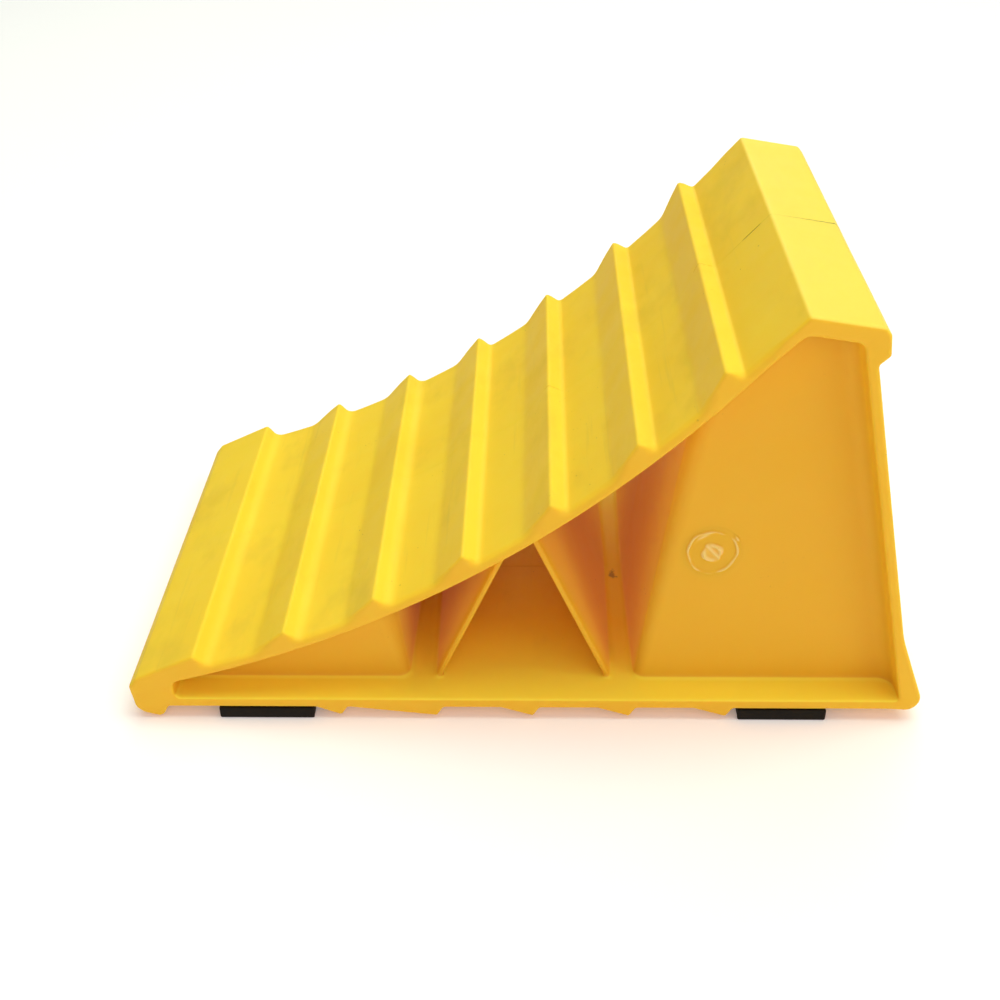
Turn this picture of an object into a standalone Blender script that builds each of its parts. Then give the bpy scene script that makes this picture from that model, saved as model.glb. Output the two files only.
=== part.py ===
"""Wheel chock: two mirrored plastic half shells, welded along the middle, on two rubber strips.

Metres, +Z up. X runs from the toe (-X) to the tall back (+X) and Y across the width. The origin is the
middle of the rectangle that the chock stands on. Every wall runs straight across the width, so each half
is its side profile made solid, less the cores that leave its hollows.
"""

from math import acos, atan2, cos, hypot, pi, radians, sin, sqrt

import bpy

# Overall size
LENGTH = 0.200
WIDTH = 0.120
HEIGHT = 0.110

# Walls
SKIN = 0.0026
BACK_WALL = 0.0026
PANEL = 0.0027
FLOOR_UNDERSIDE = 0.0036
FLOOR_TOP = 0.0065
WELD_GAP = 0.0003
HALF_WIDTH = WIDTH / 2
WELD_FACE = WELD_GAP / 2

# Ramp: an arc that fits a wheel, with saw-tooth ridges across it
RAMP_RADIUS = 0.2800
RAMP_CENTRE = (-0.1598, 0.2849)
RIDGES = 7
FIRST_RIDGE = radians(16.29)
RIDGE_STEP = radians(5.168)
RIDGE_HEIGHT = 0.0037
RIDGE_RISE = 0.0105
RIDGE_DROP = 0.0021

# Cap over the back
CAP_TIP_X = 0.0598
CAP_REAR = (0.0758, 0.1074)
NOSE_TOP = (0.0773, 0.1056)
NOSE_BOTTOM = (0.0779, 0.1008)
SKIN_BEND_X = 0.0541
CAP_UNDERSIDE = (0.0597, 0.1056)
CAP_UNDERSIDE_FALL = 0.16

# Back wall, flaring out to a round foot
WALL_TOP = (0.0756, 0.0986)
WALL_BOTTOM = (0.0929, 0.0256)
FOOT_RADIUS = 0.0036
FOOT_HEIGHT = 0.0069
FOOT_STEPS = 8
FOOT_INNER_X = 0.0925

# Toe, a solid nose with a lip that hooks down in front of the base
TOE_TOP = (-0.0979, 0.0127)
TOE_FRONT_Z = 0.0100
TOE_CORNER = (-0.0992, 0.0032)
TOE_CHIN = (-0.0972, 0.0015)
TOE_LIP = (-0.0934, 0.0004)
TOE_LIP_BACK = (-0.0922, 0.0010)
TOE_HEEL_X = -0.0907
NOSE_BACK_X = -0.0887

# Saw teeth under the base, between the rubber strips
TEETH = 5
FIRST_TOOTH = -0.0464
TOOTH_STEP = 0.0245
TOOTH_TIP = 0.0009
TOOTH_RUN = 0.0083
TOOTH_RETURN = 0.0017
FIRST_TOOTH_RUN = 0.0065
SECOND_TOOTH_RUN = 0.0228

# Rubber strips
FRONT_STRIP = (-0.0657, 0.0243)
REAR_STRIP = (0.0658, 0.0222)
STRIP_TOP = FLOOR_UNDERSIDE - 0.0003
STRIP_CHAMFER = 0.0004

# Inside: sloping ribs and closed boxes, set back from the open side. The leans are X for each unit of Z.
RECESS = 0.0090
RECESS_FACE = HALF_WIDTH - RECESS
RIB_FOOT = 0.0227
RIB_LEAN = 0.4530
RIB_THICKNESS = 0.0017
RIB_DRAFT = 0.0008
BOX_LEAN = 0.1370
FRONT_BOX_FOOT = -0.0293
REAR_BOX_FOOT = 0.0285
BOX_DRAFT = 0.0007
BOX_ROUND = 0.0045
CORNER_ROUND = 0.0040
BOX_WALL = 0.0027
APEX_WIDTH = 0.0015
ROUND_STEPS = 5
ROOF_STEPS = 8
CORE_OVERRUN = 0.0010

YELLOW = (0.93, 0.60, 0.03)
BLACK = (0.020, 0.018, 0.017)


def clear_scene():
    for old in list(bpy.data.objects):
        bpy.data.objects.remove(old, do_unlink=True)


def material(name, colour, roughness):
    made = bpy.data.materials.new(name)
    made.use_nodes = True
    shader = made.node_tree.nodes["Principled BSDF"]
    shader.inputs["Base Color"].default_value = (*colour, 1)
    shader.inputs["Roughness"].default_value = roughness
    shader.inputs["Metallic"].default_value = 0
    return made


def loft(name, sections):
    """A closed solid through (y, outline) sections, whose outlines all have the same number of (x, z) points."""
    count = len(sections[0][1])
    points = [(x, y, z) for y, outline in sections for x, z in outline]
    faces = [tuple(range(count)), tuple(reversed(range(len(points) - count, len(points))))]
    for ring in range(len(sections) - 1):
        start = ring * count
        for i in range(count):
            j = (i + 1) % count
            faces.append((start + j, start + i, start + count + i, start + count + j))
    if facing(sections) < 0:
        faces = [face[::-1] for face in faces]
    mesh = bpy.data.meshes.new(name)
    mesh.from_pydata(points, [], faces)
    made = bpy.data.objects.new(name, mesh)
    bpy.context.collection.objects.link(made)
    return made


def facing(sections):
    """Positive where the outline turns anticlockwise, seen along +Y, and the sections run towards +Y."""
    outline = sections[0][1]
    turned = zip(outline, outline[1:] + outline[:1])
    area = sum(x0 * z1 - x1 * z0 for (x0, z0), (x1, z1) in turned)
    return area * (sections[-1][0] - sections[0][0])


def on_ramp(angle, height=0.0):
    """The point at this angle along the ramp's arc, this far above it."""
    radius = RAMP_RADIUS - height
    return RAMP_CENTRE[0] + radius * sin(angle), RAMP_CENTRE[1] - radius * cos(angle)


def underside(x):
    """Height of the ramp skin's underside at x."""
    radius = RAMP_RADIUS + SKIN
    return RAMP_CENTRE[1] - sqrt(radius**2 - (x - RAMP_CENTRE[0]) ** 2)


def ridges():
    """Ramp surface from the last ridge down to the first: valley foot, tip and start of the rise of each."""
    points = []
    for i in reversed(range(RIDGES)):
        tip = FIRST_RIDGE + i * RIDGE_STEP
        points.append(on_ramp(tip + RIDGE_DROP / RAMP_RADIUS))
        points.append(on_ramp(tip, RIDGE_HEIGHT))
        if i:
            points.append(on_ramp(tip - RIDGE_RISE / RAMP_RADIUS))
    return points


def teeth():
    """Underside of the base between the strips, towards the back."""
    points = []
    for i in range(TEETH):
        tip = FIRST_TOOTH + i * TOOTH_STEP
        run = (FIRST_TOOTH_RUN, SECOND_TOOTH_RUN)[i] if i < 2 else TOOTH_RUN
        points += [(tip - run, FLOOR_UNDERSIDE), (tip, TOOTH_TIP), (tip + TOOTH_RETURN, FLOOR_UNDERSIDE)]
    return points


def foot():
    """Round foot of the back wall, up to where the wall's flare leaves it as a tangent."""
    centre = LENGTH / 2 - FOOT_RADIUS, FOOT_HEIGHT
    across, up = WALL_BOTTOM[0] - centre[0], WALL_BOTTOM[1] - centre[1]
    end = atan2(up, across) - acos(FOOT_RADIUS / hypot(across, up))
    start = radians(-105)
    angles = [start + (end - start) * i / FOOT_STEPS for i in range(FOOT_STEPS + 1)]
    return [(centre[0] + FOOT_RADIUS * cos(a), centre[1] + FOOT_RADIUS * sin(a)) for a in angles]


def profile():
    """Outside of the chock seen from the side, from the toe's heel along the base, the back and the ramp."""
    return [
        (TOE_HEEL_X, FLOOR_UNDERSIDE),
        *teeth(),
        (FOOT_INNER_X, FLOOR_UNDERSIDE),
        *foot(),
        WALL_BOTTOM,
        WALL_TOP,
        NOSE_BOTTOM,
        NOSE_TOP,
        CAP_REAR,
        (CAP_TIP_X, HEIGHT),
        *ridges(),
        TOE_TOP,
        (-LENGTH / 2, TOE_FRONT_Z),
        TOE_CORNER,
        TOE_CHIN,
        TOE_LIP,
        TOE_LIP_BACK,
    ]


def inner_wall(z):
    """X of the back wall's inner face at this height."""
    slope = (WALL_BOTTOM[0] - WALL_TOP[0]) / (WALL_TOP[1] - WALL_BOTTOM[1])
    return WALL_TOP[0] - (z - WALL_TOP[1]) * slope - BACK_WALL * hypot(1, slope)


def roof(start, end):
    """Underside of the skin from x = start to x = end."""
    xs = [start + (end - start) * i / ROOF_STEPS for i in range(ROOF_STEPS + 1)]
    return [(x, underside(x)) for x in xs]


def meets_roof(foot_x, lean):
    """X at which a wall that rises from (foot_x, FLOOR_TOP) with this lean meets the skin."""
    across = foot_x - RAMP_CENTRE[0]
    up = FLOOR_TOP - RAMP_CENTRE[1]
    a = 1 + lean**2
    b = across * lean + up
    c = across**2 + up**2 - (RAMP_RADIUS + SKIN) ** 2
    return foot_x + lean * (-b - sqrt(b**2 - a * c)) / a


def space(left_foot, left_lean, right_foot, right_lean):
    """Outline between the floor, two leaning walls and the skin."""
    right_top = meets_roof(right_foot, right_lean)
    left_top = meets_roof(left_foot, left_lean)
    return [(left_foot, FLOOR_TOP), (right_foot, FLOOR_TOP), *roof(right_top, left_top)]


def rear_space(left_foot, left_lean, corner=0.0):
    """Outline between a leaning wall, the floor, the back wall (or this far in front of it), the cap and the skin."""
    cap_x, cap_z = CAP_UNDERSIDE
    corner_z = cap_z - CAP_UNDERSIDE_FALL * (inner_wall(cap_z) - cap_x)
    return [
        (left_foot, FLOOR_TOP),
        (inner_wall(FLOOR_TOP) - corner, FLOOR_TOP),
        (inner_wall(corner_z) - corner, corner_z),
        CAP_UNDERSIDE,
        *roof(SKIN_BEND_X, meets_roof(left_foot, left_lean)),
    ]


def tunnel(middle_foot_left, middle_foot_right):
    """Outline of the space under the two sloping ribs, which close to a narrow top."""
    top = FLOOR_TOP + (middle_foot_right - middle_foot_left - APEX_WIDTH) / (2 * RIB_LEAN)
    centre = (middle_foot_left + middle_foot_right) / 2
    return [
        (middle_foot_left, FLOOR_TOP),
        (middle_foot_right, FLOOR_TOP),
        (centre + APEX_WIDTH / 2, top),
        (centre - APEX_WIDTH / 2, top),
    ]


def quarter():
    """Angles of the steps round a quarter turn."""
    return [i / ROUND_STEPS * pi / 2 for i in range(ROUND_STEPS + 1)]


def depths():
    """(depth, flare) of each section behind the recess: the box's front edge is rounded, then the core runs on."""
    made = [(BOX_ROUND * (1 - cos(a)), BOX_ROUND * (1 - sin(a))) for a in quarter()]
    return [(-CORE_OVERRUN, BOX_ROUND)] + made + [(RECESS_FACE + CORE_OVERRUN, 0)]


def cores(side):
    """The cores that leave one half's hollows. side is -1 for the near half and 1 for the far half."""

    def at(depth):
        return side * (RECESS_FACE - depth)

    def drafted(total, depth):
        return total * max(depth, 0) / RECESS_FACE

    recess = [(side * (HALF_WIDTH + CORE_OVERRUN), rear_space(NOSE_BACK_X, 0))]
    for angle in quarter():
        corner = CORNER_ROUND * (1 - cos(angle))
        recess.append((at(-CORNER_ROUND * (1 - sin(angle))), rear_space(NOSE_BACK_X, 0, corner)))
    made = {"recess": recess}

    front_gap, rear_gap, middle = [], [], []
    for depth, flare in depths():
        rib = drafted(RIB_DRAFT, depth)
        box = drafted(BOX_DRAFT, depth) - flare
        front_gap.append((at(depth), space(FRONT_BOX_FOOT + box, -BOX_LEAN, -RIB_FOOT - rib, RIB_LEAN)))
        rear_gap.append((at(depth), space(RIB_FOOT + rib, -RIB_LEAN, REAR_BOX_FOOT - box, BOX_LEAN)))
        inner = RIB_FOOT - RIB_THICKNESS - rib
        middle.append((at(depth), tunnel(-inner, inner)))
    made["front_gap"], made["rear_gap"], made["middle"] = front_gap, rear_gap, middle

    front_box, rear_box = [], []
    inner_round = BOX_ROUND - BOX_WALL
    for angle in quarter():
        depth = PANEL + inner_round * (1 - cos(angle))
        inset = BOX_WALL + inner_round * (1 - sin(angle)) - drafted(BOX_DRAFT, depth)
        front_box.append((at(depth), space(NOSE_BACK_X + 0.004, 0, FRONT_BOX_FOOT - inset, -BOX_LEAN)))
        rear_box.append((at(depth), rear_space(REAR_BOX_FOOT + inset, BOX_LEAN)))
    end = at(RECESS_FACE + CORE_OVERRUN)
    inset = BOX_WALL - BOX_DRAFT
    front_box.append((end, space(NOSE_BACK_X + 0.004, 0, FRONT_BOX_FOOT - inset, -BOX_LEAN)))
    rear_box.append((end, rear_space(REAR_BOX_FOOT + inset, BOX_LEAN)))
    made["front_box"], made["rear_box"] = front_box, rear_box
    return made


def half_shell(name, side, plastic):
    outline = profile()
    shell = loft(name, [(side * HALF_WIDTH, outline), (side * WELD_FACE, outline)])
    shell.data.materials.append(plastic)
    for core_name, sections in cores(side).items():
        core = loft(f"{name}_{core_name}_core", sections)
        core.hide_render = True
        core.display_type = "WIRE"
        cut = shell.modifiers.new(core_name, "BOOLEAN")
        cut.operation = "DIFFERENCE"
        cut.object = core
    return shell


def rubber_strip(name, placed, rubber):
    centre, length = placed
    left, right = centre - length / 2, centre + length / 2
    outline = [
        (left + STRIP_CHAMFER, 0),
        (right - STRIP_CHAMFER, 0),
        (right, STRIP_CHAMFER),
        (right, STRIP_TOP),
        (left, STRIP_TOP),
        (left, STRIP_CHAMFER),
    ]
    strip = loft(name, [(-HALF_WIDTH, outline), (HALF_WIDTH, outline)])
    strip.data.materials.append(rubber)
    return strip


def main():
    clear_scene()
    plastic = material("yellow_plastic", YELLOW, 0.42)
    rubber = material("black_rubber", BLACK, 0.80)
    half_shell("near_half_shell", -1, plastic)
    half_shell("far_half_shell", 1, plastic)
    rubber_strip("front_rubber_strip", FRONT_STRIP, rubber)
    rubber_strip("rear_rubber_strip", REAR_STRIP, rubber)


main()
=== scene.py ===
"""Looks for the wheel chock: two welded half shells of moulded yellow plastic on black rubber strips.

Each half shell is one closed surface, drawn from a distance field in millimetres: the rounded side profile,
less the side recess, the gaps and the hollow boxes, with moulded fillets between them. The field is made for
one half, with depth running from the weld at mid-width out to the open side, and the other half mirrors it.
"""

from math import acos, atan2, ceil, cos, hypot, pi, radians, sin, tan

import bpy
import numpy as np
from mathutils import Matrix, Vector


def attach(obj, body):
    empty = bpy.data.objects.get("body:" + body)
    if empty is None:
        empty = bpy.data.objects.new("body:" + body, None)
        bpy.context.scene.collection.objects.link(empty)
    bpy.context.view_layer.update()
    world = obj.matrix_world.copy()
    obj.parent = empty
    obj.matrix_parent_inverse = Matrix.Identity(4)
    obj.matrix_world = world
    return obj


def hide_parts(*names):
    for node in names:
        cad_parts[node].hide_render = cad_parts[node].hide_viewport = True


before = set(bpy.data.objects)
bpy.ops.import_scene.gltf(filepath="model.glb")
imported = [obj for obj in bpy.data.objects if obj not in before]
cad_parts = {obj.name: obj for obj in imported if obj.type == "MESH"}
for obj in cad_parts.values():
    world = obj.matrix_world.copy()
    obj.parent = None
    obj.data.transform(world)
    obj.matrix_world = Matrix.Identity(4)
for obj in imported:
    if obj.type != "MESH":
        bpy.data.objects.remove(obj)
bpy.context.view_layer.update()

MM = 0.001
HALF_WIDTH = 60.0
HALF_LENGTH = 100.0
SKIN = 2.6
BACK_WALL = 2.6
PANEL = 2.7
FLOOR_UNDERSIDE = 3.6
FLOOR_TOP = 6.5
RECESS_FACE = 51.0

RAMP_CENTRE = (-159.8, 284.9)
RAMP_RADIUS = 280.0
RIDGES = 7
FIRST_RIDGE = radians(16.29)
RIDGE_STEP = radians(5.168)
RIDGE_HEIGHT = 3.8
RIDGE_RISE = 10.5
RIDGE_DROP = 2.1

CAP_TIP = (59.8, 110.0)
CAP_REAR = (75.8, 107.4)
NOSE_TOP = (77.3, 105.6)
NOSE_BOTTOM = (77.9, 100.8)
WALL_TOP = (75.6, 98.6)
WALL_BOTTOM = (92.9, 25.6)
FOOT_RADIUS = 3.6
FOOT_HEIGHT = 6.9
FOOT_INNER_X = 92.5
SKIN_BEND = (54.1, 100.0)
CAP_UNDERSIDE = (59.7, 105.6)
CAP_UNDERSIDE_FALL = 0.16
NOSE_BACK_X = -88.7
TOE_HEEL_X = -90.7
# From the top of the toe round its front and down to its lip, as (x, z, corner radius)
TOE = (
    (-97.9, 12.7, 0.9),
    (-100.1, 10.0, 1.2),
    (-99.2, 3.2, 1.8),
    (-97.2, 1.5, 1.8),
    (-93.4, 0.4, 0.9),
    (-92.2, 1.0, 0.5),
)

TEETH = 5
FIRST_TOOTH = -46.4
TOOTH_STEP = 24.5
TOOTH_TIP = 0.9
TOOTH_RUN = 8.3
TOOTH_RETURN = 1.7
FIRST_TOOTH_RUN = 6.5

RIB_FOOT = 21.9
RIB_LEAN = 0.453
RIB_HALF = 0.72
RIB_DRAFT = 0.40
BOX_LEAN = 0.137
FRONT_BOX_FOOT = -29.3
REAR_BOX_FOOT = 28.5
BOX_DRAFT = 0.7
FRONT_STRIP = (-65.7, 24.3)
REAR_STRIP = (65.8, 22.2)
STRIP_ROUND = 0.35
STRIP_STEPS = 7
STRIP_WEAR = np.array([0.0, 0.04, 0.15, 0.35])
STRIP_END = 59.9

GRID_STEP = 0.45
SEAM_LEVELS = (-0.3, 0.05, 0.14, 0.26, 0.45, 0.8, 1.3, 2.0, 3.0, 4.5, 6.5, 9.0)
GRID_X = np.arange(-101.0, 101.0, GRID_STEP)
GRID_Z = np.arange(-0.2, 111.0, GRID_STEP)
GRID_DEPTH = np.concatenate([SEAM_LEVELS, np.arange(12, 43, 3.0), np.arange(44.0, 60.7, 0.4)])
MOST_TRIANGLES = 180_000

WELD_SCAR = 55.6
# Centre, in metres, of a spot of painted shade in the corner at the back of the near gap beside the rib
SHADE_SPOT = (0.0253, -0.0043, 0.0065)
GATE = (45.5, 45.6)
GATE_RING = 5.9
GATE_NUB = 2.9
GATE_TEAR = 0.75
GATE_REACH = 7.7

PLASTIC = (0.96, 0.585, 0.030, 1)
PLASTIC_DEEP = (0.93, 0.552, 0.026, 1)
PLASTIC_PALE = (0.97, 0.615, 0.038, 1)
# Painted shade: darker orange for the side faces, most of all the recessed side panels
SIDE_SHADE_COLOUR = (0.82, 0.44, 0.026, 1)
# Painted light: paler colour for the upward faces of the base in the side recess
LEDGE_LIGHT_COLOUR = (0.98, 0.72, 0.055, 1)
# Painted sheen: paler colour for the upward faces of the cap
CAP_SHEEN_COLOUR = (0.96, 0.66, 0.10, 1)
# Paler colour over the raised gate mark on each side panel
GATE_PALE = (0.96, 0.74, 0.30, 1)
SMUDGE = (0.66, 0.42, 0.04, 1)
# Dark colour for grime specks and the weld's line, and for the spot of painted shade
GRIME_AND_SHADE = (0.13, 0.065, 0.018, 1)
RUBBER = (0.008, 0.0055, 0.003, 1)
RUBBER_DUSTY = (0.026, 0.020, 0.012, 1)
FLOOR_DEEP = (0.93, 0.82, 0.89, 1)
FLOOR_PALE = (0.94, 0.83, 0.90, 1)

# Faint glow in the gaps beside the ribs, in place of light coming through the thin plastic
THROUGH_LIGHT = (1.0, 0.30, 0.28, 1)
THROUGH_STRENGTH = 0.05

CAMERA_PLACE = (0.00213, -0.32332, 0.22753)
CAMERA_PITCH = radians(36.630)
CAMERA_YAW = radians(-1.660)
CAMERA_ROLL = radians(-0.817)
CAMERA_LENS = 48.80
CAMERA_SHIFT = 0.12
STAGE_HALF = 4.0

COOL = (0.80, 1.0, 0.80)
WARM = (1.0, 0.82, 0.74)
LIGHTS = (
    ("top", (0.0, 0.0, 1.6), 1.2, 11.4, COOL),
    ("top_right", (0.8, 0.0, 1.4), 1.0, 9.4, COOL),
    ("top_rear", (0.0, 0.9, 1.3), 1.0, 5.0, COOL),
    ("rear", (0.0, 1.7, 0.8), 1.2, 3.8, COOL),
    ("front_right", (1.2, -1.2, 1.0), 1.0, 5.2, WARM),
    ("front_top", (0.0, -1.2, 1.5), 1.0, 3.8, WARM),
    ("front", (0.0, -1.5, 1.0), 0.5, 3.4, WARM),
)
SKY_STRENGTH = 0.21
TABLE_GLOW = 0.14


def outline_corners():
    """Side profile as (x, z, corner radius), anticlockwise from the toe's heel along the base."""
    corners = [(TOE_HEEL_X, FLOOR_UNDERSIDE, 0.5)]
    for i in range(TEETH):
        tip = FIRST_TOOTH + i * TOOTH_STEP
        if i != 1:
            corners.append((tip - (TOOTH_RUN if i else FIRST_TOOTH_RUN), FLOOR_UNDERSIDE, 1.0))
        corners += [
            (tip, TOOTH_TIP, 0.45),
            (tip + TOOTH_RETURN, FLOOR_UNDERSIDE, 0.5),
        ]
    corners.append((FOOT_INNER_X, FLOOR_UNDERSIDE, 1.2))
    centre = HALF_LENGTH - FOOT_RADIUS, FOOT_HEIGHT
    across, up = WALL_BOTTOM[0] - centre[0], WALL_BOTTOM[1] - centre[1]
    leave = atan2(up, across) - acos(FOOT_RADIUS / hypot(across, up))
    start = radians(-105)
    for i in range(17):
        a = start + (leave - start) * i / 16
        corners.append((centre[0] + FOOT_RADIUS * cos(a), centre[1] + FOOT_RADIUS * sin(a), 0))
    corners += [
        (*WALL_BOTTOM, 30.0),
        (*WALL_TOP, 0.9),
        (*NOSE_BOTTOM, 0.8),
        (*NOSE_TOP, 0.9),
        (*CAP_REAR, 0.9),
        (*CAP_TIP, 0.8),
    ]
    for i in reversed(range(RIDGES)):
        tip = FIRST_RIDGE + i * RIDGE_STEP
        corners.append((*on_ramp(tip + RIDGE_DROP / RAMP_RADIUS), 4.0 if i < 3 else 2.5 - 0.3 * i))
        corners.append((*on_ramp(tip, RIDGE_HEIGHT), 0.55))
        if i:
            rise = tip - RIDGE_RISE / RAMP_RADIUS
            corners.append((*on_ramp(rise), 6.0))
            before = tip - RIDGE_STEP + RIDGE_DROP / RAMP_RADIUS
            corners += [(*on_ramp(rise + (before - rise) * t), 0) for t in (0.35, 0.5, 0.65)]
    return corners + list(TOE)


def on_ramp(angle, height=0.0):
    radius = RAMP_RADIUS - height
    return RAMP_CENTRE[0] + radius * sin(angle), RAMP_CENTRE[1] - radius * cos(angle)


def rounded_outline(corners):
    """The outline's points, with an arc in place of each corner that has a radius."""
    points = []
    for i, (x, z, radius) in enumerate(corners):
        here = np.array((x, z))
        if not radius:
            points.append(here)
            continue
        back = np.array(corners[i - 1][:2]) - here
        ahead = np.array(corners[(i + 1) % len(corners)][:2]) - here
        longest = 0.48 * min(np.hypot(*back), np.hypot(*ahead))
        back, ahead = back / np.hypot(*back), ahead / np.hypot(*ahead)
        half = acos(np.clip(back @ ahead, -1, 1)) / 2
        reach = min(radius / tan(half), longest)
        radius = reach * tan(half)
        middle = (back + ahead) / np.hypot(*(back + ahead))
        centre = here + middle * radius / sin(half)
        first, last = here + back * reach - centre, here + ahead * reach - centre
        turn = pi - 2 * half
        steps = max(2, ceil(turn / radians(12)))
        for k in range(steps + 1):
            t = k / steps
            arm = first * sin((1 - t) * turn) + last * sin(t * turn)
            points.append(centre + arm / sin(turn))
    return np.array(points)


def outline_distance(points, x, z):
    """Signed distance to a closed outline at each (x, z) of the grid, negative inside."""
    px, pz = x[:, None], z[None, :]
    nearest = np.full((len(x), len(z)), 1e9)
    inside = np.zeros(nearest.shape, bool)
    for (x0, z0), (x1, z1) in zip(points, np.roll(points, -1, axis=0)):
        ex, ez = x1 - x0, z1 - z0
        wx, wz = px - x0, pz - z0
        t = np.clip((wx * ex + wz * ez) / (ex * ex + ez * ez), 0, 1)
        np.minimum(nearest, (wx - t * ex) ** 2 + (wz - t * ez) ** 2, out=nearest)
        if z0 != z1:
            spans = (pz >= z0) != (pz >= z1)
            inside ^= spans & (px < x0 + (pz - z0) * ex / ez)
    return np.where(inside, -1, 1) * np.sqrt(nearest)


def both(a, b, radius):
    """Where both solids are, with the edge between them rounded."""
    outside = np.hypot(np.maximum(a + radius, 0), np.maximum(b + radius, 0))
    return np.minimum(np.maximum(a, b), -radius) + outside


def either(a, b, radius):
    """Where either solid is, with a fillet in the corner between them."""
    within = np.hypot(np.maximum(radius - a, 0), np.maximum(radius - b, 0))
    return np.maximum(np.minimum(a, b), radius) - within


def line_distance(x, z, start, end):
    """Distance from the line through two points, positive on the left of start to end."""
    dx, dz = end[0] - start[0], end[1] - start[1]
    return (dx * (z - start[1]) - dz * (x - start[0])) / hypot(dx, dz)


def ripple(x, depth, z, size):
    """Slow unevenness of a moulded face, from -1 to 1."""
    waves = (
        (1.0, 0.35, 0.62, 0.0),
        (0.71, -0.55, 0.43, 1.9),
        (-0.38, 0.83, 0.90, 4.1),
        (1.4, 0.2, -1.1, 2.6),
    )
    turn = 2 * pi / size
    return sum(np.sin((a * x + b * depth + c * z) * turn + d) for a, b, c, d in waves) / len(waves)


def half_shell_field():
    """Signed distance in millimetres over the grid, indexed [x, depth, z], negative inside the plastic."""
    x, z = GRID_X[:, None, None], GRID_Z[None, None, :]
    depth = GRID_DEPTH[None, :, None]
    side = outline_distance(rounded_outline(outline_corners()), GRID_X, GRID_Z)[:, None, :]

    floor = z - FLOOR_TOP
    toe = x - NOSE_BACK_X
    skin = np.hypot(x - RAMP_CENTRE[0], z - RAMP_CENTRE[1]) - RAMP_RADIUS - SKIN
    bend = np.maximum(-line_distance(x, z, SKIN_BEND, CAP_UNDERSIDE), SKIN_BEND[0] - 12 - x)
    cap = -line_distance(x, z, CAP_UNDERSIDE, (CAP_UNDERSIDE[0] + 1, CAP_UNDERSIDE[1] - CAP_UNDERSIDE_FALL))
    wall = -line_distance(x, z, WALL_TOP, WALL_BOTTOM) - BACK_WALL
    loop = either(np.minimum(skin, bend), cap, 1.2)
    loop = either(either(loop, floor, 1.2), toe, 1.5)

    draft = BOX_DRAFT * (1 - depth / RECESS_FACE)
    slope = hypot(1, BOX_LEAN)
    rise = BOX_LEAN * (z - FLOOR_TOP)
    front_side = (x - FRONT_BOX_FOOT + rise) / slope - draft
    rear_side = (REAR_BOX_FOOT + rise - x) / slope - draft
    panel = depth - RECESS_FACE
    front_box = both(panel, front_side, np.clip(2.6 + 0.13 * (z - FLOOR_TOP), 2.0, 6.0))
    rear_box = both(panel, rear_side, np.clip(2.6 + 0.03 * (z - FLOOR_TOP), 2.0, 5.0))
    rib = np.abs(np.abs(x) - RIB_FOOT + RIB_LEAN * (z - FLOOR_TOP)) / hypot(1, RIB_LEAN)
    rib = both(rib - RIB_HALF - RIB_DRAFT * (1 - depth / RECESS_FACE), panel, 0.55)

    solid = either(loop, either(rear_box, wall, 4.0), 1.3)
    solid = either(solid, front_box, 1.3)
    solid = either(solid, rib, 1.0)
    outside = side + 0.04 * ripple(x, depth, z, 46.0) + 0.04
    soft = soft_edge(x, z)
    solid = both(both(outside, depth - HALF_WIDTH, 0.75 + 1.25 * soft), solid, 0.6 + 0.2 * soft)

    closed = np.maximum(-loop, -wall)
    behind = depth - RECESS_FACE + PANEL
    for box_side in (front_side, rear_side):
        hollow = np.maximum(both(behind, box_side + PANEL, 2.0), closed)
        solid = np.maximum(solid, -hollow)
    return both(solid, -depth, seam_round(x, z))


def soft_edge(x, z):
    """1 along the ramp between the ridges, where the side edges are well rounded, and 0 elsewhere."""
    height = RAMP_RADIUS - np.hypot(x - RAMP_CENTRE[0], z - RAMP_CENTRE[1])
    on_skin = np.clip((2.2 - height) / 1.6, 0, 1) * np.clip((height + 6) / 2, 0, 1)
    return on_skin * np.clip((56 - x) / 4, 0, 1) * np.clip((x + 90) / 8, 0, 1)


def seam_round(x, z):
    """How far the weld's edges are rounded: most at the cap's rear lip, less on two ridges and the scar."""
    lip = np.clip((x - 62) / 16, 0, 1) * (z > 96)
    ridge = np.clip(1 - np.abs(x - 44.5) / 3, 0, 1) + 0.7 * np.clip(1 - np.abs(x - 7.5) / 3, 0, 1)
    scar = np.clip(1.4 - np.abs(x - WELD_SCAR) / 1.8, 0, 1) * (z > 90)
    return 0.012 + 0.03 * lip + 0.20 * lip**2 + 0.12 * np.clip(ridge + scar, 0, 1)


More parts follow.
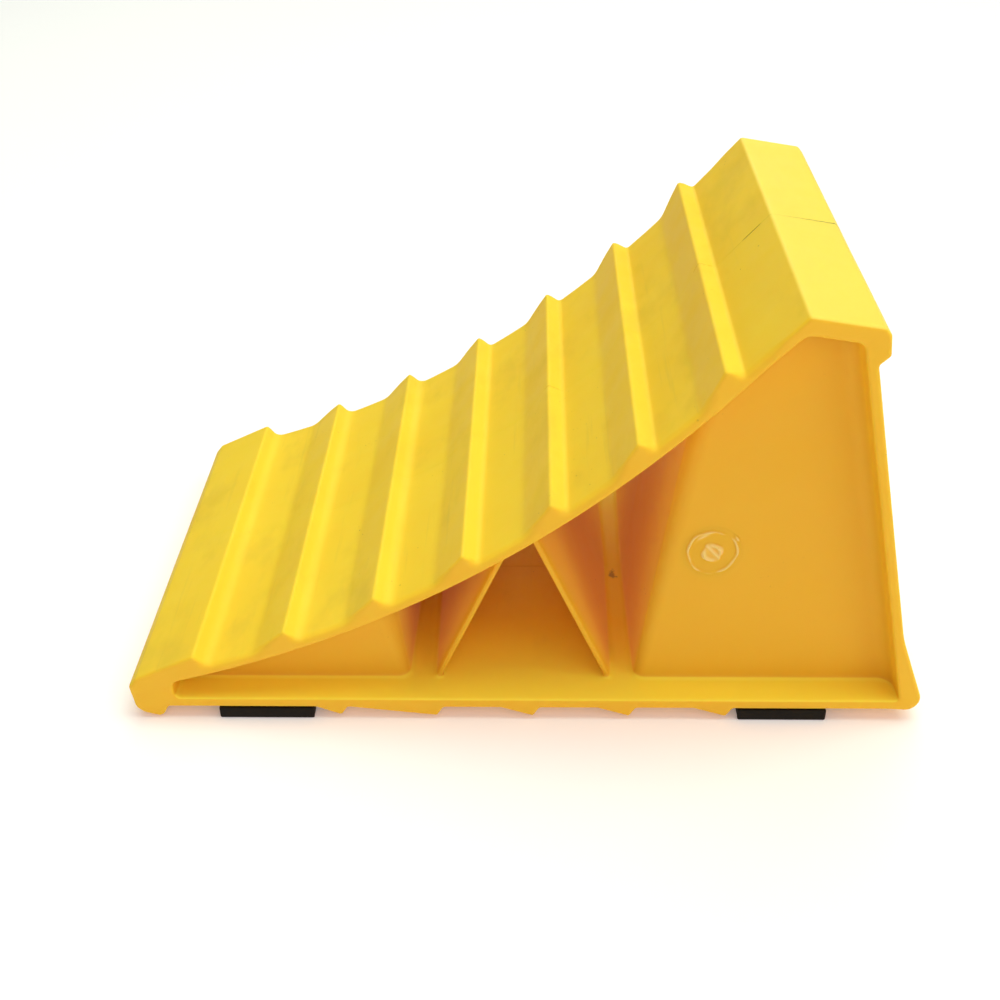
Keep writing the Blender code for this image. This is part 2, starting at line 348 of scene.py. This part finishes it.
def surface(field):
    """Closed quad mesh of the field's zero surface: one point in each cell that it crosses."""
    axes = (GRID_X, GRID_DEPTH, GRID_Z)
    cells = tuple(n - 1 for n in field.shape)
    total = np.zeros((3, cells[0] * cells[1] * cells[2]))
    count = np.zeros(total.shape[1])
    crossings = []
    for axis in range(3):
        low = [slice(None)] * 3
        high = [slice(None)] * 3
        low[axis], high[axis] = slice(None, -1), slice(1, None)
        a, b = field[tuple(low)], field[tuple(high)]
        at = np.array(np.nonzero((a < 0) != (b < 0)))
        a, b = a[tuple(at)], b[tuple(at)]
        where = [axes[i][at[i]] for i in range(3)]
        where[axis] = where[axis] + (axes[axis][at[axis] + 1] - axes[axis][at[axis]]) * a / (a - b)
        u, v = [i for i in range(3) if i != axis]
        corner = []
        for du, dv in ((0, 0), (1, 0), (1, 1), (0, 1)):
            cell = at.copy()
            cell[u] -= du
            cell[v] -= dv
            index = (cell[0] * cells[1] + cell[1]) * cells[2] + cell[2]
            corner.append(index)
            count += np.bincount(index, minlength=len(count))
            for i in range(3):
                total[i] += np.bincount(index, weights=where[i], minlength=len(count))
        quad = np.array(corner).T
        flip = (a > 0) ^ (axis == 1)
        quad[flip] = quad[flip][:, ::-1]
        crossings.append(quad)
    used = np.nonzero(count)[0]
    number = np.zeros(len(count), np.int64)
    number[used] = np.arange(len(used))
    return (total[:, used] / count[used]).T, number[np.concatenate(crossings)]


def sample(values, points):
    """Values of a grid array at points (x, depth, z), blended from the eight grid points around each."""
    found = 0
    weights, lows = [], []
    for axis, line in enumerate((GRID_X, GRID_DEPTH, GRID_Z)):
        i = np.clip(np.searchsorted(line, points[:, axis]) - 1, 0, len(line) - 2)
        lows.append(i)
        weights.append(np.clip((points[:, axis] - line[i]) / (line[i + 1] - line[i]), 0, 1))
    for corner in range(8):
        bits = [(corner >> axis) & 1 for axis in range(3)]
        share = 1
        for weight, bit in zip(weights, bits):
            share = share * (weight if bit else 1 - weight)
        found = found + share * values[tuple(low + bit for low, bit in zip(lows, bits))]
    return found


def mesh_of(name, points, faces):
    mesh = bpy.data.meshes.new(name)
    mesh.from_pydata(points, [], faces)
    mesh.update()
    return mesh


def thinned(mesh, most_triangles):
    """A copy of the mesh with no more than this many triangles."""
    triangles = sum(len(p.vertices) - 2 for p in mesh.polygons)
    worker = bpy.data.objects.new("worker", mesh)
    bpy.context.scene.collection.objects.link(worker)
    thin = worker.modifiers.new("thin", "DECIMATE")
    thin.ratio = min(1, most_triangles / triangles)
    graph = bpy.context.evaluated_depsgraph_get()
    made = bpy.data.meshes.new_from_object(worker.evaluated_get(graph))
    bpy.data.objects.remove(worker)
    return made


def arrays_of(mesh):
    points = np.empty(len(mesh.vertices) * 3, np.float32)
    mesh.vertices.foreach_get("co", points)
    mesh.calc_loop_triangles()
    faces = np.empty(len(mesh.loop_triangles) * 3, np.int32)
    mesh.loop_triangles.foreach_get("vertices", faces)
    return points.reshape(-1, 3).astype(float), faces.reshape(-1, 3)


def build_shells():
    field = half_shell_field()
    points, quads = surface(field)
    points, faces = arrays_of(thinned(mesh_of("raw", points.tolist(), quads.tolist()), MOST_TRIANGLES))
    slope = np.gradient(field, GRID_X, GRID_DEPTH, GRID_Z)
    around = points.copy()
    flush = (points[:, 1] < 0.4) & (seam_round(points[:, 0], points[:, 2]) < 0.04)
    around[flush, 1] = 0.8
    normals = np.stack([sample(part, around) for part in slope], axis=-1)
    normals /= np.maximum(np.linalg.norm(normals, axis=1, keepdims=True), 1e-9)
    shells = []
    for name, node, mirror in (("near_shell", "near_half_shell", -1), ("far_shell", "far_half_shell", 1)):
        flip = np.array((1, mirror, 1))
        turned = faces if mirror > 0 else faces[:, ::-1]
        mesh = mesh_of(name, (points * flip * MM).tolist(), turned.tolist())
        mesh.shade_smooth()
        mesh.normals_split_custom_set_from_vertices((normals * flip).tolist())
        shells.append(add_piece(name, mesh, node))
    return shells


class Nodes:
    """Short ways to add and join the nodes of one material."""

    def __init__(self, name):
        self.material = bpy.data.materials.new(name)
        self.material.use_nodes = True
        self.tree = self.material.node_tree
        self.shader = self.tree.nodes["Principled BSDF"]
        self.place = self.add("ShaderNodeTexCoord").outputs["Object"]

    def add(self, kind, inputs=None, **settings):
        node = self.tree.nodes.new(kind)
        for key, value in settings.items():
            setattr(node, key, value)
        for key, value in (inputs or {}).items():
            self.feed(value, node.inputs[key])
        return node

    def feed(self, value, socket):
        if isinstance(value, bpy.types.NodeSocket):
            self.tree.links.new(value, socket)
        else:
            socket.default_value = value

    def math(self, operation, a, b=0.0, c=0.0):
        return self.add("ShaderNodeMath", {0: a, 1: b, 2: c}, operation=operation).outputs[0]

    def noise(self, scale, detail=3.0, roughness=0.55, stretch=(1, 1, 1), shift=(0, 0, 0)):
        at = self.add("ShaderNodeMapping", {"Vector": self.place, "Scale": stretch, "Location": shift})
        settings = {"Vector": at.outputs[0], "Scale": scale, "Detail": detail, "Roughness": roughness}
        return self.add("ShaderNodeTexNoise", settings).outputs["Fac"]

    def both(self, *masks):
        """Masks multiplied together."""
        made = masks[0]
        for mask in masks[1:]:
            made = self.math("MULTIPLY", made, mask)
        return made

    def size_of(self, value):
        return self.math("ABSOLUTE", value)

    def reach(self, x, z, centre):
        """Distance from the crosswise axis through centre, which is (x, z) in millimetres."""
        across, up = self.math("ADD", x, -centre[0] * MM), self.math("ADD", z, -centre[1] * MM)
        squares = self.math("MULTIPLY_ADD", across, across, self.math("MULTIPLY", up, up))
        return self.math("SQRT", squares)

    def vector(self, operation, a, b=(0.0, 0.0, 0.0)):
        return self.add("ShaderNodeVectorMath", {0: a, 1: b}, operation=operation).outputs

    def split(self, vector):
        return self.add("ShaderNodeSeparateXYZ", {"Vector": vector}).outputs

    def ramp(self, value, low, high, start=0.0, end=1.0):
        """Value carried smoothly from start, at low and below, to end, at high and above."""
        made = self.add(
            "ShaderNodeMapRange",
            {"Value": value, "From Min": low, "From Max": high, "To Min": start, "To Max": end},
            interpolation_type="SMOOTHSTEP",
        )
        return made.outputs["Result"]

    def mix(self, share, a, b):
        made = self.add("ShaderNodeMix", data_type="RGBA")
        self.feed(share, made.inputs["Factor"])
        self.feed(a, made.inputs[6])
        self.feed(b, made.inputs[7])
        return made.outputs[2]

    def bump(self, layers):
        """Bumps from (height, depth in metres, strength) layers, one over the other."""
        normal = None
        for height, depth, strength in layers:
            node = self.add("ShaderNodeBump", {"Height": height, "Distance": depth, "Strength": strength})
            if normal:
                self.tree.links.new(normal, node.inputs["Normal"])
            normal = node.outputs["Normal"]
        self.tree.links.new(normal, self.shader.inputs["Normal"])


def plastic_colour(made, upward, sideways, smudge):
    """Base colour: clouds and smudges, then painted shade on the side faces and panels, painted light on the
    base's top, a painted sheen on the cap's top and a paler gate mark, then the weld's line and a spot of
    painted shade.
    """
    x, y, z = made.split(made.place)
    depth = made.size_of(y)

    colour = made.mix(made.ramp(made.noise(34, 2.5), 0.35, 0.68), PLASTIC_DEEP, PLASTIC)
    drift = made.noise(11, 1.5, shift=(0.3, 0.1, 0.7))
    colour = made.mix(made.ramp(drift, 0.4, 0.7, 0.0, 0.5), colour, PLASTIC_PALE)
    colour = made.mix(smudge, colour, SMUDGE)
    streak = made.noise(420, 3.0, 0.6, (1, 0.05, 1), (1, 2, 3))
    colour = made.mix(made.both(made.ramp(streak, 0.6, 0.78, 0.0, 0.22), upward), colour, SMUDGE)
    speck = made.ramp(made.noise(1150, 1.0, 0.5, shift=(7, 3, 1)), 0.745, 0.79, 0.0, 0.55)
    patch = made.ramp(made.noise(40, 1.0, 0.5, shift=(4, 4, 9)), 0.55, 0.68)
    colour = made.mix(made.both(speck, patch), colour, GRIME_AND_SHADE)

    # Painted shade: faces turned sideways, and most of all the recessed side panels, are made darker orange
    recessed = made.ramp(depth, 0.0525, 0.0545, 1.0, 0.0)
    panel = made.both(recessed, made.ramp(sideways, 0.10, 0.45, 0.0, 0.78))
    outer = made.ramp(sideways, 0.6, 0.9, 0.0, 0.4)
    colour = made.mix(made.math("MAXIMUM", panel, outer), colour, SIDE_SHADE_COLOUR)
    # Painted light: the base's upward faces in the side recess are made paler
    lit_ledge = made.both(made.ramp(z, 0.0070, 0.0085, 1.0, 0.0), upward, made.ramp(depth, 0.022, 0.052))
    colour = made.mix(lit_ledge, colour, LEDGE_LIGHT_COLOUR)
    # Painted sheen: the cap's upward faces are made paler
    top = made.both(made.ramp(x, 0.0592, 0.0602), made.ramp(z, 0.1035, 0.1062), upward, 0.8)
    colour = made.mix(top, colour, CAP_SHEEN_COLOUR)
    # Paler where the gate mark stands proud of the side panel
    near_gate = made.ramp(made.reach(x, z, GATE), 0.0070, 0.0078, 0.75, 0.0)
    colour = made.mix(made.both(made.ramp(depth, 0.05115, 0.0517), near_gate), colour, GATE_PALE)

    weld = made.ramp(depth, 0.00008, 0.0003, 1.0, 0.0)
    lip = made.both(made.ramp(x, 0.060, 0.0765, 0.12, 1.0), made.ramp(z, 0.098, 0.102))
    along = made.size_of(made.math("ADD", x, -WELD_SCAR * MM))
    scar = made.both(made.ramp(along, 0.0014, 0.0024, 0.7, 0.0), made.ramp(z, 0.090, 0.092))
    colour = made.mix(made.both(weld, made.math("MAXIMUM", lip, scar)), colour, GRIME_AND_SHADE)
    # Painted shade: a dark spot in the corner at the back of the near gap
    offset = made.vector("MULTIPLY", made.vector("SUBTRACT", made.place, SHADE_SPOT)[0], (1.0, 0.45, 1.0))[0]
    ragged = made.ramp(made.noise(700, 2.0), 0.3, 0.7, -0.0005, 0.0005)
    from_shade_spot = made.math("ADD", made.vector("LENGTH", offset)["Value"], ragged)
    return made.mix(made.ramp(from_shade_spot, 0.0005, 0.0013, 0.6, 0.0), colour, GRIME_AND_SHADE)


def through_light(made, lengthways):
    """Where the faint glow is: only under the ramp, between the rib boxes and inside the panels."""
    x, y, z = made.split(made.place)
    between_boxes = made.ramp(made.size_of(x), 0.038, 0.044, 1.0, 0.0)
    inside = made.ramp(made.size_of(y), 0.044, 0.0512, 1.0, 0.0)
    under = made.ramp(made.reach(x, z, RAMP_CENTRE), (RAMP_RADIUS + 1) * MM, (RAMP_RADIUS + 2) * MM)
    return made.both(lengthways, between_boxes, inside, under, THROUGH_STRENGTH)


def yellow_plastic():
    """Moulded polypropylene: matt, faintly clouded and grained, smudged on the ramp, glossier on the cap."""
    made = Nodes("yellow_plastic")
    facing = made.split(made.add("ShaderNodeNewGeometry").outputs["Normal"])
    upward = made.ramp(facing[2], 0.35, 0.7)
    lengthways = made.ramp(made.size_of(facing[0]), 0.5, 0.9)
    smudge = made.ramp(made.noise(52, 4.0, 0.6, (1, 0.5, 1), (2, 5, 1)), 0.50, 0.72, 0.0, 0.34)
    smudge = made.both(smudge, upward)

    sockets = made.shader.inputs
    made.feed(plastic_colour(made, upward, made.size_of(facing[1]), smudge), sockets["Base Color"])
    gloss = made.ramp(made.split(made.place)[2], 0.1015, 0.1045, 0.0, 0.09)
    rough = made.math("SUBTRACT", made.ramp(made.noise(85, 4.0, 0.6), 0.3, 0.75, 0.54, 0.66), gloss)
    made.feed(made.math("ADD", rough, made.both(smudge, 0.3)), sockets["Roughness"])
    made.feed(through_light(made, lengthways), sockets["Emission Strength"])
    sockets["Emission Color"].default_value = THROUGH_LIGHT
    sockets["Specular IOR Level"].default_value = 0.24
    sockets["Subsurface Weight"].default_value = 0.25
    sockets["Subsurface Radius"].default_value = (1.0, 0.4, 0.1)
    sockets["Subsurface Scale"].default_value = 0.002
    made.bump(
        [
            (made.noise(120, 3.0), 0.00025, 0.30),
            (made.noise(900, 4.0, 0.6, (1, 0.25, 1)), 0.00006, 0.35),
            (made.noise(3200, 2.0), 0.00003, 0.30),
        ]
    )
    return made.material


def black_rubber():
    """Dull rubber with fine grain and dusty rubbed patches."""
    made = Nodes("black_rubber")
    dust = made.ramp(made.noise(140, 5.0, 0.65), 0.48, 0.75, 0.0, 0.5)
    colour = made.mix(dust, RUBBER, RUBBER_DUSTY)
    made.feed(colour, made.shader.inputs["Base Color"])
    made.feed(made.ramp(dust, 0.0, 0.5, 0.72, 0.92), made.shader.inputs["Roughness"])
    made.shader.inputs["Specular IOR Level"].default_value = 0.20
    made.bump(
        [
            (made.noise(600, 4.0, 0.7), 0.00015, 0.5),
            (made.noise(2600, 3.0, 0.6), 0.00006, 0.6),
        ]
    )
    return made.material


def studio_floor():
    made = Nodes("studio_floor")
    colour = made.mix(made.noise(3, 2.0), FLOOR_DEEP, FLOOR_PALE)
    made.feed(colour, made.shader.inputs["Base Color"])
    made.shader.inputs["Roughness"].default_value = 0.9
    made.shader.inputs["Specular IOR Level"].default_value = 0.2
    made.shader.inputs["Emission Color"].default_value = (1, 1, 1, 1)
    made.shader.inputs["Emission Strength"].default_value = TABLE_GLOW
    return made.material


def hump(value, at, width):
    """1 at a place and falling smoothly to 0 around it."""
    return np.exp(-(((value - at) / width) ** 2))


def gate_height(radius, angle):
    """Height in millimetres over the side panel of the ring and torn stub that the moulding gate leaves."""
    wander = 0.20 * np.sin(3 * angle + 0.6) + 0.07 * np.sin(8 * angle + 2.0)
    wear = 0.62 + 0.26 * np.sin(2 * angle + 2.3)
    wear = wear + 0.18 * np.sin(5 * angle) + 0.12 * np.sin(11 * angle + 1.0)
    ring = 0.80 * wear * hump(radius, GATE_RING + wander, 0.34)
    fold = 0.5 * hump(radius, 5.2, 0.5) * hump(angle, 2.1, 0.35)
    flake = 0.7 * hump(radius, 6.9, 0.35) * hump(angle, 0.6, 0.12)
    edge = np.clip((GATE_NUB - radius + 0.25 * np.sin(4 * angle)) / 0.5, 0, 1)
    sides = 0.5 + 0.5 * np.cos(2 * (angle - GATE_TEAR))
    crescents = 0.85 * sides * hump(radius, 2.1, 0.45)
    crest = 0.35 * hump(radius * np.cos(angle - GATE_TEAR), 0.3, 0.4)
    swell = 0.10 * np.exp(-((radius / 5.4) ** 6))
    sunk_rim = 0.45 * np.clip((radius - 7.2) / 0.5, 0, 1)
    return 0.02 + ring + fold + flake + swell + edge * (0.20 + crescents + crest) - sunk_rim


def gate_mark(name, side):
    """Closed thin patch on one side panel."""
    rings, spokes = 56, 144
    radius = GATE_REACH * (np.arange(1, rings + 1) / rings)[:, None]
    angle = (2 * pi * np.arange(spokes) / spokes)[None, :]
    height = gate_height(radius, angle)
    x = (GATE[0] + radius * np.cos(angle)).ravel()
    z = (GATE[1] + radius * np.sin(angle)).ravel()
    top = np.stack([x, side * (RECESS_FACE + height.ravel()), z], axis=-1)
    centre = [GATE[0], side * (RECESS_FACE + float(gate_height(0.0, 0.0))), GATE[1]]
    floor = [GATE[0], side * (RECESS_FACE - 0.9), GATE[1]]
    points = np.vstack([top, centre, floor]) * MM
    hub, base = len(top), len(top) + 1
    faces = []
    last = (rings - 1) * spokes
    for j in range(spokes):
        k = (j + 1) % spokes
        faces.append((hub, j, k))
        faces.append((base, last + k, last + j))
        for ring in range(0, last, spokes):
            faces.append((ring + j, ring + spokes + j, ring + spokes + k, ring + k))
    if side > 0:
        faces = [face[::-1] for face in faces]
    mesh = mesh_of(name, points.tolist(), faces)
    mesh.shade_smooth()
    return add_piece(name, mesh, None)


def strip_outline(half, top):
    """Rounded rectangle around a strip's cross section, in steps short enough to follow its waves."""
    profile = []
    corners = ((half, 0, -pi / 2), (half, top, 0), (-half, top, pi / 2), (-half, 0, pi))
    for cx, cz, start in corners:
        ox = cx - STRIP_ROUND * (1 if cx > 0 else -1)
        oz = cz - STRIP_ROUND * (1 if cz > 0 else -1)
        angles = [start + pi / 2 * k / STRIP_STEPS for k in range(STRIP_STEPS + 1)]
        profile += [(ox + STRIP_ROUND * cos(a), oz + STRIP_ROUND * sin(a)) for a in angles]
    outline = []
    for (x0, z0), (x1, z1) in zip(profile, profile[1:] + profile[:1]):
        parts = max(1, ceil(hypot(x1 - x0, z1 - z0) / 0.6))
        outline += [(x0 + (x1 - x0) * k / parts, z0 + (z1 - z0) * k / parts) for k in range(parts)]
    return np.array(outline).T


def rubber_strip(name, node, middle, length, torn_end):
    """Cut strip of rubber: slightly uneven faces, worn edges, and one corner that the knife has torn."""
    half, top = length / 2, FLOOR_UNDERSIDE - 0.3
    wide, high = strip_outline(half, top)
    middle_depths = np.arange(-59.0, 59.1, 1.0)
    depths = np.concatenate([STRIP_WEAR - STRIP_END, middle_depths, STRIP_END - STRIP_WEAR[::-1]])
    rows = []
    for y in depths:
        inset = STRIP_ROUND * (1 - min(1, (STRIP_END - abs(y)) / STRIP_ROUND)) ** 2
        x = wide * (1 - inset / half)
        z = top / 2 + (high - top / 2) * (1 - 2 * inset / top)
        wave = 0.05 * np.sin(x * 1.3 + y * 0.7) * np.sin(y * 1.9 - x * 0.4)
        rag = 0.12 * np.exp(-((y + STRIP_END) ** 2) / 8) * np.sin(5 * x) * (x * torn_end > half * 0.3)
        x = x - wave * np.sign(x) * (np.abs(x) > half - 0.5)
        z = np.clip(z - (rag + 0.04) * (z > top * 0.7), 0, top)
        rows.append(np.stack([middle + x, np.full(len(x), y), z], axis=-1))
    count = len(wide)
    last = (len(rows) - 1) * count
    faces = []
    for row in range(0, last, count):
        for j in range(count):
            k = (j + 1) % count
            faces.append((row + j, row + k, row + count + k, row + count + j))
    faces.append(tuple(reversed(range(count))))
    faces.append(tuple(range(last, last + count)))
    mesh = mesh_of(name, (np.vstack(rows) * MM).tolist(), faces)
    mesh.shade_smooth()
    return add_piece(name, mesh, node)


def add_piece(name, mesh, node):
    piece = bpy.data.objects.new(name, mesh)
    bpy.context.scene.collection.objects.link(piece)
    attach(piece, "root")
    if node:
        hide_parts(node)
    return piece


def camera():
    """A view of the near side from above, looking down by 37 degrees, with the frame shifted up a little."""
    pitch, yaw, roll = CAMERA_PITCH, CAMERA_YAW, CAMERA_ROLL
    ahead = Vector((sin(yaw) * cos(pitch), cos(yaw) * cos(pitch), -sin(pitch)))
    right = Vector((cos(yaw), -sin(yaw), 0))
    up = right.cross(ahead)
    right, up = right * cos(roll) + up * sin(roll), up * cos(roll) - right * sin(roll)
    data = bpy.data.cameras.new("camera")
    data.sensor_width = 36
    data.lens = CAMERA_LENS
    data.shift_y = CAMERA_SHIFT
    data.clip_start = 0.01
    made = bpy.data.objects.new("camera", data)
    turn = Matrix((right, up, -ahead)).transposed().to_4x4()
    made.matrix_world = Matrix.Translation(CAMERA_PLACE) @ turn
    bpy.context.scene.collection.objects.link(made)
    bpy.context.scene.camera = made


def stage():
    half = STAGE_HALF
    corners = [(-half, -half, 0), (half, -half, 0), (half, half, 0), (-half, half, 0)]
    mesh = mesh_of("floor", corners, [(0, 1, 2, 3)])
    floor = bpy.data.objects.new("floor", mesh)
    floor.data.materials.append(studio_floor())
    bpy.context.scene.collection.objects.link(floor)


def lights():
    world = bpy.data.worlds.new("world")
    world.use_nodes = True
    world.node_tree.nodes["Background"].inputs["Color"].default_value = (1, 1, 1, 1)
    world.node_tree.nodes["Background"].inputs["Strength"].default_value = SKY_STRENGTH
    bpy.context.scene.world = world
    for name, at, size, power, tint in LIGHTS:
        data = bpy.data.lights.new(name, "AREA")
        data.shape = "DISK"
        data.size = size
        data.energy = power
        data.color = tint
        lamp = bpy.data.objects.new(name, data)
        lamp.location = at
        aim = Vector((0, 0, 0.04)) - Vector(at)
        lamp.rotation_euler = aim.to_track_quat("-Z", "Y").to_euler()
        bpy.context.scene.collection.objects.link(lamp)


bpy.context.scene.view_settings.view_transform = "Standard"
plastic = yellow_plastic()
rubber = black_rubber()
marks = [gate_mark("near_gate_mark", -1), gate_mark("far_gate_mark", 1)]
for piece in build_shells() + marks:
    piece.data.materials.append(plastic)
for strip in (
    rubber_strip("front_strip", "front_rubber_strip", *FRONT_STRIP, 1),
    rubber_strip("rear_strip", "rear_rubber_strip", *REAR_STRIP, -1),
):
    strip.data.materials.append(rubber)
camera()
stage()
lights()
